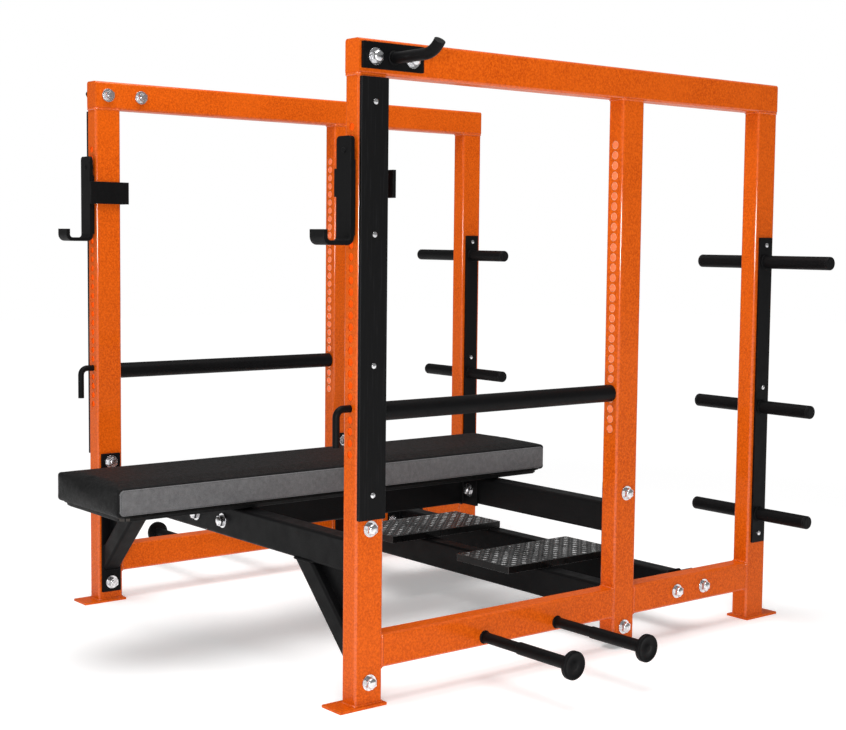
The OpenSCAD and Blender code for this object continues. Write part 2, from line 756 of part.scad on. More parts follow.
// Button-head screw: its seat at the origin, the shank along -Z
module screw(l) {
    rotate_extrude() intersection() {
        translate([0, screw_head_t - screw_head_d]) circle(screw_head_d);
        square([screw_head_d / 2, screw_head_t]);
    }
    translate([0, 0, -l]) cylinder(d = screw_d, h = l + eps);
}

module strip_screws()
    color(steel) to_frame() for (side = [-1, 1], z = strip_screw_z) on_side(side)
        translate([outer_x + strip_t, front_mid, z]) rotate([0, 90, 0])
            screw(strip_t + screw_l);

module horn_screws()
    color(steel) to_frame() for (side = [-1, 1], z = horn_screw_z) on_side(side) {
        translate([outer_x + plate_t, rear_mid, z]) rotate([0, 90, 0]) screw(plate_t + screw_l);
        translate([plate_x, rear_mid, z]) rotate([0, -90, 0]) screw(plate_t + screw_l);
    }

module pad_screws()
    color(steel) to_frame() for (y = strap_y, x = [-1, 1])
        translate([x * pad_screw_x, y, beam_top]) rotate([180, 0, 0])
            screw(strap_t + board_t - 2 * screw_margin);

front_upright(-1);  // left_front_upright
front_upright(1);  // right_front_upright
middle_upright(-1);  // left_middle_upright
middle_upright(1);  // right_middle_upright
rear_upright(-1);  // left_rear_upright
rear_upright(1);  // right_rear_upright
top_rail(-1);  // left_top_rail
top_rail(1);  // right_top_rail
front_bottom_rail(-1);  // left_front_bottom_rail
front_bottom_rail(1);  // right_front_bottom_rail
rear_bottom_rail(-1);  // left_rear_bottom_rail
rear_bottom_rail(1);  // right_rear_bottom_rail
floor_plates();
top_rail_caps();
upright_plugs();
hole_bushes();
wear_strip(-1);  // left_wear_strip
wear_strip(1);  // right_wear_strip
front_cross_beam();
front_gusset(-1);  // left_front_gusset
front_gusset(1);  // right_front_gusset
middle_upper_beam();
middle_lower_beam();
middle_end_plates();
rear_lower_beam();
tread(-1);  // left_tread
tread(1);  // right_tread
bench_beam();
pad_straps();
pad_board();
bench_pad();
bar_hook(-1);  // left_bar_hook
bar_hook(1);  // right_bar_hook
hook_pad(-1);  // left_hook_pad
hook_pad(1);  // right_hook_pad
safety_rod(-1);  // left_safety_rod
safety_rod(1);  // right_safety_rod
safety_pipe(-1);  // left_safety_pipe
safety_pipe(1);  // right_safety_pipe
top_hook(-1);  // left_top_hook
top_hook(1);  // right_top_hook
horn_plates(-1);  // left_horn_plates
horn_plates(1);  // right_horn_plates
outer_horns(-1);  // left_outer_horns
outer_horns(1);  // right_outer_horns
inner_horns(-1);  // left_inner_horns
inner_horns(1);  // right_inner_horns
horn_caps();
band_pegs(-1);  // left_band_pegs
band_pegs(1);  // right_band_pegs
frame_bolts();
bench_bolts();
hook_bolts();
bolt_washers();
bolt_nuts();
strip_screws();
horn_screws();
pad_screws();
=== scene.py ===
import json
import math

import bmesh
import bpy
from mathutils import Matrix, Vector, noise
from mathutils.bvhtree import BVHTree


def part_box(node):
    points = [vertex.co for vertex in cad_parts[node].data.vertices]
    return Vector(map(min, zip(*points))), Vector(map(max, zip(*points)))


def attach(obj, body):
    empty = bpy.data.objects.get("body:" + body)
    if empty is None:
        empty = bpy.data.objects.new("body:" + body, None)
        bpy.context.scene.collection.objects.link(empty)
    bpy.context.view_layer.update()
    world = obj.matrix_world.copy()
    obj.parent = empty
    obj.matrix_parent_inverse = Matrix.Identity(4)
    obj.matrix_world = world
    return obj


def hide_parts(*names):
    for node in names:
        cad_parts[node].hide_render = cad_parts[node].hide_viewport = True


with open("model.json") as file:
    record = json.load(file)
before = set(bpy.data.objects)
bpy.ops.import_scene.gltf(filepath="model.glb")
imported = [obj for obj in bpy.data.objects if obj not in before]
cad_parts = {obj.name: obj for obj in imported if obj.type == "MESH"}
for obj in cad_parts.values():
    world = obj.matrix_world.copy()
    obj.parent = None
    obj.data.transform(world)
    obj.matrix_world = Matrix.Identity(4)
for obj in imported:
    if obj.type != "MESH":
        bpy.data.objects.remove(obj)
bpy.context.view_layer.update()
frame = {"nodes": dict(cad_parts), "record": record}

scene = bpy.context.scene

X = Vector((1, 0, 0))
Y = Vector((0, 1, 0))
Z = Vector((0, 0, 1))
TUBE_R = 0.007            # outer corner radius of the frame tube
WELD_R = 0.0032           # half the width of a weld bead
TUBE_WALL = 0.003         # wall of the frame tube
LINER_IN_R = 0.00855      # bore of an adjustment hole's liner, over the 16 mm rods
LINER_OUT_R = 0.0098
LINER_GAP = 0.0001        # between a liner's end and the wall
BOLT_R = 0.0112           # radius of a large bolt's dome
BOLT_RISE = 0.0048        # height of its dome
GLOW_START = 1.2          # distance at which the floor starts to light up
GLOW_END = 3.6            # distance at which it is the colour of the backdrop


# ---- materials -----------------------------------------------------------------------

class Graph:
    """One material: adds nodes to its tree and links them."""

    def __init__(self, name):
        self.mat = bpy.data.materials.new(name)
        self.mat.use_nodes = True
        self.tree = self.mat.node_tree
        self.shader = self.tree.nodes["Principled BSDF"]
        self.place = self.add("ShaderNodeTexCoord").outputs["Object"]

    def add(self, kind, **settings):
        node = self.tree.nodes.new(kind)
        for name, value in settings.items():
            setattr(node, name, value)
        return node

    def feed(self, socket, value):
        """Links a socket, or sets its value."""
        if isinstance(value, bpy.types.NodeSocket):
            self.tree.links.new(value, socket)
        else:
            socket.default_value = value

    def stretched(self, scale):
        """The place on the object, scaled by a different amount along each axis."""
        node = self.add("ShaderNodeMapping")
        self.feed(node.inputs["Vector"], self.place)
        self.feed(node.inputs["Scale"], scale)
        return node.outputs["Vector"]

    def noise(self, scale, detail=2.0, rough=0.5, place=None):
        node = self.add("ShaderNodeTexNoise")
        self.feed(node.inputs["Vector"], place or self.place)
        self.feed(node.inputs["Scale"], scale)
        self.feed(node.inputs["Detail"], detail)
        self.feed(node.inputs["Roughness"], rough)
        return node.outputs["Fac"]

    def cells(self, scale, feature="DISTANCE_TO_EDGE"):
        node = self.add("ShaderNodeTexVoronoi", feature=feature)
        self.feed(node.inputs["Vector"], self.place)
        self.feed(node.inputs["Scale"], scale)
        return node.outputs["Distance"]

    def fit(self, value, low, high, out_low=0.0, out_high=1.0):
        """value, from low to high, as a number from out_low to out_high."""
        node = self.add("ShaderNodeMapRange")
        for socket, number in zip(node.inputs, (value, low, high, out_low, out_high)):
            self.feed(socket, number)
        return node.outputs["Result"]

    def math(self, operation, a, b):
        node = self.add("ShaderNodeMath", operation=operation)
        self.feed(node.inputs[0], a)
        self.feed(node.inputs[1], b)
        return node.outputs["Value"]

    def mix(self, factor, a, b):
        node = self.add("ShaderNodeMix", data_type="RGBA")
        self.feed(node.inputs["Factor"], factor)
        self.feed(node.inputs[6], a)
        self.feed(node.inputs[7], b)
        return node.outputs[2]

    def bevel(self, radius):
        node = self.add("ShaderNodeBevel", samples=4)
        self.feed(node.inputs["Radius"], radius)
        return node.outputs["Normal"]

    def edge(self, radius):
        """1 on an edge of the surface and 0 on its flats."""
        node = self.add("ShaderNodeVectorMath", operation="DOT_PRODUCT")
        self.feed(node.inputs[0], self.bevel(radius))
        self.feed(node.inputs[1], self.add("ShaderNodeNewGeometry").outputs["Normal"])
        return self.fit(node.outputs["Value"], 0.98, 0.80)

    def flatness(self):
        """1 on a face square to an axis, less on the rounded corners of a tube."""
        node = self.add("ShaderNodeVectorMath", operation="ABSOLUTE")
        self.feed(node.inputs[0], self.add("ShaderNodeNewGeometry").outputs["Normal"])
        parts = self.add("ShaderNodeSeparateXYZ")
        self.feed(parts.inputs[0], node.outputs["Vector"])
        across = self.math("MAXIMUM", parts.outputs["X"], parts.outputs["Y"])
        return self.math("MAXIMUM", across, parts.outputs["Z"])

    def bump(self, height, distance, normal=None, strength=1.0):
        node = self.add("ShaderNodeBump")
        self.feed(node.inputs["Strength"], strength)
        self.feed(node.inputs["Distance"], distance)
        self.feed(node.inputs["Height"], height)
        if normal:
            self.feed(node.inputs["Normal"], normal)
        return node.outputs["Normal"]

    def finish(self, **inputs):
        """Sets the shader's inputs, named with _ for each space, and gives the material."""
        for name, value in inputs.items():
            self.feed(self.shader.inputs[name.replace("_", " ")], value)
        return self.mat


def rgb(r, g, b):
    return (r, g, b, 1.0)


def make_orange_coat():
    """Orange powder coat: mottled, with orange peel, and paler where it thins on an edge."""
    g = Graph("orange_coat")
    speckle = g.fit(g.noise(190, 4.0, 0.75), 0.36, 0.64)
    colour = g.mix(speckle, rgb(0.46, 0.055, 0.001), rgb(0.74, 0.122, 0.005))
    patches = g.fit(g.noise(7, 3.0), 0.35, 0.70, 0.0, 0.35)
    colour = g.mix(patches, colour, rgb(0.72, 0.118, 0.006))
    worn = g.math("MULTIPLY", g.edge(0.0015), g.fit(g.noise(55, 4.0), 0.45, 0.62, 0.0, 0.5))
    colour = g.mix(worn, colour, rgb(0.90, 0.27, 0.07))
    peel = g.bump(g.noise(620, 1.5), 0.00018, g.bevel(0.0012), 0.55)
    rough = g.fit(g.noise(40, 3.0), 0.3, 0.7, 0.30, 0.44)
    gloss = g.fit(g.flatness(), 0.99, 0.93, 0.10, 1.0)
    return g.finish(Base_Color=colour, Roughness=rough, Normal=peel, Specular_IOR_Level=0.05,
                    Coat_Weight=gloss, Coat_Roughness=0.10)


def make_black_coat():
    """Satin black powder coat with a fine texture, rubbed grey on its edges."""
    g = Graph("black_coat")
    speckle = g.fit(g.noise(420, 3.0, 0.7), 0.35, 0.68)
    colour = g.mix(speckle, rgb(0.0022, 0.0022, 0.0024), rgb(0.0058, 0.0058, 0.0062))
    worn = g.math("MULTIPLY", g.edge(0.0014), g.fit(g.noise(70, 4.0), 0.42, 0.64, 0.1, 0.8))
    colour = g.mix(worn, colour, rgb(0.040, 0.040, 0.042))
    grain = g.bump(g.noise(800, 2.0), 0.00015, g.bevel(0.001), 0.6)
    rough = g.fit(g.noise(30, 3.0), 0.3, 0.7, 0.40, 0.54)
    return g.finish(Base_Color=colour, Roughness=rough, Normal=grain, Specular_IOR_Level=0.08)


def make_black_plastic():
    """Matt black plastic with long fine scuffs, and a painted highlight on its edges."""
    g = Graph("black_plastic")
    scuffs = g.noise(1.0, 5.0, 0.6, g.stretched((260, 260, 9)))
    colour = g.mix(g.fit(scuffs, 0.55, 0.72), rgb(0.0045, 0.0045, 0.0048),
                   rgb(0.013, 0.013, 0.014))
    # painted highlight: every edge is painted paler grey, evenly along its length
    colour = g.mix(g.fit(g.edge(0.0018), 0.0, 1.0, 0.0, 0.75), colour, rgb(0.065, 0.067, 0.070))
    grain = g.bump(g.noise(950, 2.0), 0.00012, g.bevel(0.0016), 0.6)
    return g.finish(Base_Color=colour, Normal=grain, Specular_IOR_Level=0.09,
                    Roughness=g.fit(scuffs, 0.35, 0.7, 0.62, 0.42))


def make_bright_steel():
    """Zinc-plated steel: bright, faintly brushed, a little dull in random patches."""
    g = Graph("bright_steel")
    dull = g.fit(g.noise(160, 4.0), 0.42, 0.70)
    colour = g.mix(dull, rgb(0.80, 0.80, 0.81), rgb(0.50, 0.50, 0.52))
    brushed = g.bump(g.noise(1.0, 2.0, 0.5, g.stretched((300, 900, 2400))), 0.00006,
                     g.bevel(0.0008), 0.5)
    return g.finish(Base_Color=colour, Metallic=1.0, Normal=brushed,
                    Roughness=g.fit(dull, 0.0, 1.0, 0.14, 0.34))


def make_liner(name, low, high, painted_glow):
    """Nylon inside the adjustment holes, glowing with painted light so that the holes' insides
    look lit.
    """
    g = Graph(name)
    colour = g.mix(g.noise(200, 2.0), low, high)
    return g.finish(Base_Color=colour, Roughness=0.4, Emission_Color=high,
                    Emission_Strength=painted_glow)


def make_bush_steel():
    """The bushes' thin steel collars, tinted the frame's orange: a painted reflection of the
    frame.
    """
    g = Graph("reflection_tinted_bush_steel")
    dull = g.fit(g.noise(160, 4.0), 0.42, 0.70)
    # painted reflection: the steel's colour is the orange of the frame round it
    colour = g.mix(dull, rgb(0.95, 0.62, 0.42), rgb(0.80, 0.44, 0.24))
    return g.finish(Base_Color=colour, Metallic=1.0, Roughness=0.35, Normal=g.bevel(0.0008))


def make_tread_plate(worn_bright):
    """Checker plate: dark grey on the sheet, worn to bright steel on its raised bars. The sheet
    has painted shade on faces that do not face up and a painted highlight on its edges.
    """
    g = Graph("tread_bars" if worn_bright else "tread_sheet")
    dirt = g.fit(g.noise(60, 4.0), 0.36, 0.66)
    low, high = (0.08, 0.20) if worn_bright else (0.010, 0.024)
    colour = g.mix(dirt, rgb(low, low, low), rgb(high, high, high))
    if not worn_bright:
        # painted shade: where the sheet faces away from up, on its folded edges and underside, it
        # is painted near black
        shade_by_facing = g.add("ShaderNodeSeparateXYZ")
        g.feed(shade_by_facing.inputs[0], g.add("ShaderNodeNewGeometry").outputs["Normal"])
        colour = g.mix(g.fit(shade_by_facing.outputs["Z"], 0.3, 0.7), rgb(0.004, 0.004, 0.004), colour)
        # painted highlight: every edge of the sheet is painted pale grey, evenly
        colour = g.mix(g.fit(g.edge(0.0014), 0.0, 1.0, 0.0, 0.8), colour, rgb(0.22, 0.22, 0.22))
    grain = g.bump(g.noise(700, 2.0), 0.00015, g.bevel(0.001), 0.6)
    return g.finish(Base_Color=colour, Normal=grain, Specular_IOR_Level=0.2,
                    Metallic=0.75 if worn_bright else 0.1,
                    Roughness=g.fit(dirt, 0.0, 1.0, 0.40, 0.26))


def make_vinyl(name, dark, light):
    """Upholstery vinyl with a leather grain of fine cells and soft creases, with painted shade in
    the grain's hollows.
    """
    g = Graph(name)
    cells = g.fit(g.cells(620), 0.0, 0.16)
    tone = g.fit(g.noise(90, 4.0, 0.6), 0.3, 0.7)
    colour = g.mix(tone, rgb(dark, dark, dark * 1.03), rgb(light, light, light * 1.02))
    # painted shade: the hollows of the grain, at the cells' edges, are painted darker
    colour = g.mix(g.fit(cells, 0.0, 1.0, 0.35, 0.0), colour, rgb(0.004, 0.004, 0.004))
    creases = g.bump(g.noise(24, 3.0), 0.0012, None, 0.25)
    grain = g.bump(cells, 0.00016, creases, 0.7)
    return g.finish(Base_Color=colour, Normal=grain, Specular_IOR_Level=0.10,
                    Roughness=g.fit(tone, 0.0, 1.0, 0.60, 0.48))


def make_plywood():
    """Black-stained plywood with a long grain along the board."""
    g = Graph("plywood")
    grain = g.noise(1.0, 5.0, 0.6, g.stretched((160, 5, 160)))
    colour = g.mix(g.fit(grain, 0.3, 0.7), rgb(0.012, 0.010, 0.009), rgb(0.045, 0.036, 0.028))
    return g.finish(Base_Color=colour, Roughness=0.7, Normal=g.bump(grain, 0.0004, None, 0.5))


def make_thread():
    g = Graph("thread")
    twist = g.noise(1.0, 1.0, 0.5, g.stretched((1800, 1800, 1800)))
    colour = g.mix(twist, rgb(0.012, 0.012, 0.013), rgb(0.05, 0.05, 0.052))
    return g.finish(Base_Color=colour, Roughness=0.6)


def make_floor_paint():
    """White floor paint that runs out into a lit white backdrop round the machine."""
    g = Graph("floor_paint")
    tone = g.noise(3.0, 3.0)
    colour = g.mix(tone, rgb(0.90, 0.90, 0.90), rgb(0.94, 0.94, 0.94))
    away = g.add("ShaderNodeVectorMath", operation="LENGTH")
    g.feed(away.inputs[0], g.place)
    lit = g.fit(away.outputs["Value"], GLOW_START, GLOW_END)
    return g.finish(Base_Color=g.mix(lit, colour, rgb(0.05, 0.05, 0.05)), Roughness=0.85,
                    Specular_IOR_Level=0.1, Emission_Color=rgb(1.0, 1.0, 1.0),
                    Emission_Strength=g.fit(lit, 0.0, 1.0, 0.26, 1.0))


orange_coat = make_orange_coat()
black_coat = make_black_coat()
black_plastic = make_black_plastic()
bright_steel = make_bright_steel()
# painted light: the front liners glow in the frame's lit orange, so their holes hardly show; the
# middle ones glow pale, as bright dashes
orange_liner = make_liner("orange_liner", rgb(0.60, 0.088, 0.004), rgb(0.64, 0.094, 0.005), 0.62)
pale_liner = make_liner("pale_liner", rgb(0.84, 0.34, 0.16), rgb(0.92, 0.44, 0.24), 0.50)
reflection_tinted_bush_steel = make_bush_steel()
tread_sheet = make_tread_plate(False)
tread_bars = make_tread_plate(True)
black_vinyl = make_vinyl("black_vinyl", 0.0045, 0.0085)
grey_vinyl = make_vinyl("grey_vinyl", 0.120, 0.165)
plywood = make_plywood()
thread = make_thread()

SLOT_MATERIAL = {
    "orange_coat": orange_coat,
    "black_coat": black_coat,
    "black_plastic": black_plastic,
    "bright_steel": bright_steel,
    "tread_plate": tread_sheet,
    "vinyl": black_vinyl,
    "plywood": plywood,
}


def dress_cad_nodes():
    """Gives every CAD node the material of its record slot, and the bushes their own."""
    for row in frame["record"]["subparts"]:
        for place in frame["nodes"][row["node"]].material_slots:
            place.material = SLOT_MATERIAL[row["material_slot"]]
    for place in frame["nodes"]["hole_bushes"].material_slots:
        place.material = reflection_tinted_bush_steel


# ---- making pieces -------------------------------------------------------------------

def add_piece(name, mesh_data, body, slot, *materials):
    """A new piece from a bmesh, riding on a body."""
    mesh = bpy.data.meshes.new(name)
    mesh_data.to_mesh(mesh)
    mesh_data.free()
    piece = bpy.data.objects.new(name, mesh)
    scene.collection.objects.link(piece)
    for material in materials:
        mesh.materials.append(material)
    for face in mesh.polygons:
        face.use_smooth = True
    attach(piece, body)
    return piece


def middle(node):
    low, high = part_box(node)
    return (low + high) / 2


def solids_of(node):
    """The box of each separate solid in a node, lowest corner first."""
    data = bmesh.new()
    data.from_mesh(frame["nodes"][node].data)
    bmesh.ops.remove_doubles(data, verts=data.verts, dist=1e-5)
    seen, boxes = set(), []
    for start in data.verts:
        if start in seen:
            continue
        seen.add(start)
        group, waiting = [], [start]
        while waiting:
            vert = waiting.pop()
            group.append(vert.co.copy())
            for edge in vert.link_edges:
                other = edge.other_vert(vert)
                if other not in seen:
                    seen.add(other)
                    waiting.append(other)
        boxes.append(tuple(Vector(pick(p[i] for p in group) for i in range(3))
                           for pick in (min, max)))
    data.free()
    return boxes


def sweep(data, path, normals, radius, sides, closed=True, ends=False):
    """Sweeps a round section along a path. radius(i) is its radius at each point."""
    rings = []
    count = len(path)
    for i, point in enumerate(path):
        after = path[(i + 1) % count] if closed else path[min(i + 1, count - 1)]
        before = path[i - 1] if closed else path[max(i - 1, 0)]
        tangent = (after - before).normalized()
        across = tangent.cross(normals[i]).normalized()
        lift = across.cross(tangent)
        rings.append([
            data.verts.new(point + radius(i) * (math.cos(a) * across + math.sin(a) * lift))
            for a in (2 * math.pi * k / sides for k in range(sides))])
    for i in range(count if closed else count - 1):
        ring, following = rings[i], rings[(i + 1) % count]
        for k in range(sides):
            data.faces.new((ring[k], ring[(k + 1) % sides],
                            following[(k + 1) % sides], following[k]))
    if ends:
        data.faces.new(rings[0][::-1])
        data.faces.new(rings[-1])


def rounded_loop(centre, a, b, half_a, half_b, corner, step):
    """Points round a rectangle with round corners, in the plane of a and b."""
    points = []
    flat_a, flat_b = half_a - corner, half_b - corner
    turns = max(2, round(corner * math.pi / 2 / step))
    for quarter, (sa, sb) in enumerate(((1, 1), (-1, 1), (-1, -1), (1, -1))):
        hub = centre + a * sa * flat_a + b * sb * flat_b
        for k in range(turns + 1):
            angle = (quarter + k / turns) * math.pi / 2
            points.append(hub + corner * (math.cos(angle) * a + math.sin(angle) * b))
        run = flat_b if quarter % 2 else flat_a
        following = ((-1, 1), (-1, -1), (1, -1), (1, 1))[quarter]
        angle = (quarter + 1) * math.pi / 2
        target = (centre + a * following[0] * flat_a + b * following[1] * flat_b
                  + corner * (math.cos(angle) * a + math.sin(angle) * b))
        start = points[-1]
        steps = max(1, round(2 * run / step))
        points += [start.lerp(target, k / steps) for k in range(1, steps)]
    return points


def lathe(data, origin, axis, profile, sides=32):
    """Turns a profile of (distance along the axis, radius) about the axis."""
    a = axis.orthogonal().normalized()
    b = axis.cross(a)
    rings = []
    for along, radius in profile:
        if radius == 0:
            rings.append([data.verts.new(origin + axis * along)] * sides)
        else:
            rings.append([data.verts.new(origin + axis * along
                                         + radius * (math.cos(t) * a + math.sin(t) * b))
                          for t in (2 * math.pi * k / sides for k in range(sides))])
    for ring, following in zip(rings, rings[1:]):
        for k in range(sides):
            corners = (ring[k], ring[(k + 1) % sides],
                       following[(k + 1) % sides], following[k])
            unique = [v for i, v in enumerate(corners) if v not in corners[:i]]
            data.faces.new(unique)


# ---- weld beads ----------------------------------------------------------------------

WELD_STEP = 0.0015        # distance between the rings of a weld bead
RIPPLE = 3                # rings in one ripple of the bead


def bead(data, loop, normal):
    """One weld bead: a rippled cord along a closed path."""
    wobble = [WELD_R * (1.0 + 0.16 * (i % RIPPLE == 0) + 0.12 * noise.noise(p * 90))
              for i, p in enumerate(loop)]
    sweep(data, loop, [normal] * len(loop), lambda i: wobble[i], 6)


def box_bead(data, centre, normal, half_a, half_b):
    """A bead round a rectangular tube. half_a is along X or Y, half_b along Z or Y."""
    a = Y if normal is X else X
    b = Y if normal is Z else Z
    bead(data, rounded_loop(centre, a, b, half_a, half_b, TUBE_R, WELD_STEP), normal)


def ring_bead(data, centre, normal, radius):
    """A bead round a round bar."""
    a = Y if normal is X else X
    b = Y if normal is Z else Z
    count = RIPPLE * round(2 * math.pi * radius / WELD_STEP / RIPPLE)
    angles = [2 * math.pi * k / count for k in range(count)]
    bead(data, [centre + radius * (math.cos(t) * a + math.sin(t) * b) for t in angles], normal)


def side_frame_welds(side):
    """Beads where one side frame's tubes and floor plates meet."""
    data = bmesh.new()
    flush = 0.0016                         # how far a bead sinks into two flush faces
    for upright in ("front_upright", "middle_upright", "rear_upright"):
        low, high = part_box(f"{side}_{upright}")
        half = (high - low) / 2
        for z in (low.z, high.z):
            if upright == "middle_upright" and z == low.z:
                continue                   # it hangs free of the floor
            inset = flush if z == high.z else 0
            box_bead(data, Vector((middle(f"{side}_{upright}").x, (low.y + high.y) / 2, z)),
                     Z, half.x - inset, half.y)
    for rail in ("front_bottom_rail", "rear_bottom_rail"):
        low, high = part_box(f"{side}_{rail}")
        half = (high - low) / 2
        for y in (low.y, high.y):
            box_bead(data, Vector(((low.x + high.x) / 2, y, (low.z + high.z) / 2)),
                     Y, half.x - flush, half.z)
    add_piece(f"{side}_frame_welds", data, "frame", "orange_coat", orange_coat)


def plate_thickness():
    """Thickness of the plates that the beams bolt on by."""
    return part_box("rear_lower_beam")[1].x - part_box("front_cross_beam")[1].x


def cross_frame_welds():
    """Beads on the black cross frames and the bench beam."""
    data = bmesh.new()
    for beam in ("front_cross_beam", "middle_upper_beam", "middle_lower_beam"):
        low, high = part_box(beam)
        half = (high - low) / 2
        for x in (low.x, high.x):
            box_bead(data, Vector((x, (low.y + high.y) / 2, (low.z + high.z) / 2)),
                     X, half.y, half.z)
    plate = plate_thickness()
    low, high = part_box("bench_beam")
    beam_half = (high.z - low.z) / 2
    for y in (low.y + plate, high.y - plate):
        box_bead(data, Vector((0, y, (low.z + high.z) / 2)), Y, beam_half - 0.0025, beam_half)
    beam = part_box("front_cross_beam")
    rear = middle("rear_lower_beam")
    half = (beam[1] - beam[0]) / 2
    for x in (beam[0].x, beam[1].x):
        box_bead(data, Vector((x, rear.y, rear.z)), X, half.y, half.z)
    brace_half = half.y
    slant = brace_half * math.sqrt(2)
    for side, sign in (("left", -1), ("right", 1)):
        low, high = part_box(f"{side}_front_gusset")
        reach = (high.x - low.x) - plate - slant
        plate_x = beam[1].x * sign
        foot_z = beam[0].z - reach
        y = middle("front_cross_beam").y
        box_bead(data, Vector((plate_x, y, foot_z)), X, brace_half, slant)
        box_bead(data, Vector((plate_x - sign * reach, y, beam[0].z)), Z, slant, brace_half)
    add_piece("cross_frame_welds", data, "frame", "black_coat", black_coat)


def bar_welds():
    """Beads where horns, band pegs and top hooks meet their plates and rails."""
    data = bmesh.new()
    for side, sign in (("left", -1), ("right", 1)):
        for node, outward in ((f"{side}_outer_horns", sign), (f"{side}_inner_horns", -sign),
                              (f"{side}_band_pegs", sign)):
            for low, high in solids_of(node):
                root = low.x if outward > 0 else high.x
                radius = (high.y - low.y) / 2
                if "pegs" in node:
                    radius = peg_root_radius(node)
                ring_bead(data, Vector((root, (low.y + high.y) / 2, (low.z + high.z) / 2)),
                          X, radius)
        low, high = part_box(f"{side}_top_hook")
        bolts = [b for b in solids_of("hook_bolts") if b[0].x * sign > 0]
        height = sum((b[0].z + b[1].z) / 2 for b in bolts) / len(bolts)
        root = (low.x if sign > 0 else high.x) + sign * plate_thickness()
        ring_bead(data, Vector((root, (low.y + high.y) / 2, height)), X,
                  peg_root_radius(f"{side}_band_pegs"))
    add_piece("bar_welds", data, "frame", "black_coat", black_coat)


def peg_root_radius(node):
    """Radius of a band peg where it meets the rail."""
    mesh = frame["nodes"][node].data
    root = min(abs(v.co.x) for v in mesh.vertices)
    ring = [v.co for v in mesh.vertices if abs(abs(v.co.x) - root) < 1e-5]
    rows = sorted(p.z for p in ring)
    return (rows[-1] - rows[0]) / 2


# ---- bolts, pegs and treads ----------------------------------------------------------

def bolt_domes():
    """The domed tops of the large bolt heads."""
    data = bmesh.new()
    for node in ("frame_bolts", "hook_bolts", "bench_bolts"):
        for low, high in solids_of(node):
            centre = (low + high) / 2
            if node == "bench_bolts":
                axis, face = -Y, Vector((centre.x, low.y, centre.z))
            else:
                axis = X if centre.x > 0 else -X
                face = Vector((high.x if centre.x > 0 else low.x, centre.y, centre.z))
            dome = [(BOLT_RISE * math.sin(t), BOLT_R * math.cos(t))
                    for t in (math.pi / 2 * k / 7 for k in range(7))]
            lathe(data, face, axis, [(0.0, BOLT_R), *dome[1:], (BOLT_RISE, 0.0)])
    add_piece("bolt_domes", data, "frame", "bright_steel", bright_steel)


def hole_liners():
    """A nylon tube in every adjustment hole, from wall to wall of its upright."""
    holes = [(low + high) / 2 for low, high in solids_of("hole_bushes")]
    for upright, liner in (("front_upright", orange_liner), ("middle_upright", pale_liner)):
        data = bmesh.new()
        for side in ("left", "right"):
            low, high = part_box(f"{side}_{upright}")
            rows = [p for p in holes if (p.x < 0) == (side == "left")]
            depth = high.y - low.y - 2 * (TUBE_WALL + LINER_GAP)
            for row in rows:
                start = Vector((row.x, low.y + TUBE_WALL + LINER_GAP, row.z))
                lathe(data, start, Y, [(0, LINER_IN_R), (depth, LINER_IN_R),
                                       (depth, LINER_OUT_R), (0, LINER_OUT_R),
                                       (0, LINER_IN_R)], 24)
        add_piece(f"{upright}_liners", data, "frame", "black_plastic", liner)


def peg_rims():
    """The raised rim and the dished face of each band peg's disc."""
    data = bmesh.new()
    for side, sign in (("left", -1), ("right", 1)):
        for low, high in solids_of(f"{side}_band_pegs"):
            centre = (low + high) / 2
            radius = (high.z - low.z) / 2
            face = Vector((high.x if sign > 0 else low.x, centre.y, centre.z))
            lathe(data, face, X * sign, [
                (-0.0005, radius - 0.0002), (0.0012, radius - 0.0008),
                (0.0020, radius - 0.0030), (0.0020, radius - 0.0052),
                (0.0008, radius - 0.0078), (0.0003, radius * 0.55),
                (0.0006, radius * 0.33), (0.0022, radius * 0.26),
                (0.0026, radius * 0.12), (0.0026, 0.0)], 40)
    add_piece("peg_rims", data, "frame", "black_coat", black_coat)


def checker_bar(data, centre, direction, length, width, height):
    """One raised lens-shaped bar of a checker plate."""
    across = Z.cross(direction)
    rim, crest = [], []
    count = 5
    for side in (1, -1):
        for k in range(count):
            t = -1 + 2 * k / count if side > 0 else 1 - 2 * k / count
            bulge = side * width / 2 * (1 - t * t)
            rim.append(data.verts.new(centre + direction * t * length / 2 + across * bulge))
            crest.append(data.verts.new(centre + direction * t * length * 0.36
                                        + across * bulge * 0.45 + Z * height))
    total = len(rim)
    for k in range(total):
        data.faces.new((rim[k], rim[(k + 1) % total], crest[(k + 1) % total], crest[k]))
    data.faces.new(crest)


def tread_pattern(side):
    """Raised bars in two slanting directions all over a tread."""
    low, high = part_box(f"{side}_tread")
    data = bmesh.new()
    pitch = 0.0185
    margin = 0.009
    columns = int((high.x - low.x - 2 * margin) / pitch)
    rows = int((high.y - low.y - 2 * margin) / pitch)
    start_x = (low.x + high.x - columns * pitch) / 2
    start_y = (low.y + high.y - rows * pitch) / 2
    for i in range(columns + 1):
        for j in range(rows + 1):
            slant = math.radians(45 if (i + j) % 2 else -45)
            checker_bar(data, Vector((start_x + i * pitch, start_y + j * pitch, high.z - 1e-4)),
                        Vector((math.cos(slant), math.sin(slant), 0)),
                        0.0205, 0.0058, 0.0018)
    add_piece(f"{side}_tread_bars", data, "frame", "tread_plate", tread_bars)


# ---- bench pad -----------------------------------------------------------------------

PAD_SHRINK = 0.0015       # the cushion starts this much narrower and swells
PAD_GROW = 0.004          # and this much longer at each end
PAD_EDGE_R = 0.009        # its edge radius before it swells
PAD_CAP = 0.0065          # the most that a point may move in the simulation
SEAM_INSET = 0.0035       # side panel seam to the cushion's edges
SEAM_CORNER = 0.015       # corner radius of the side panel's seam


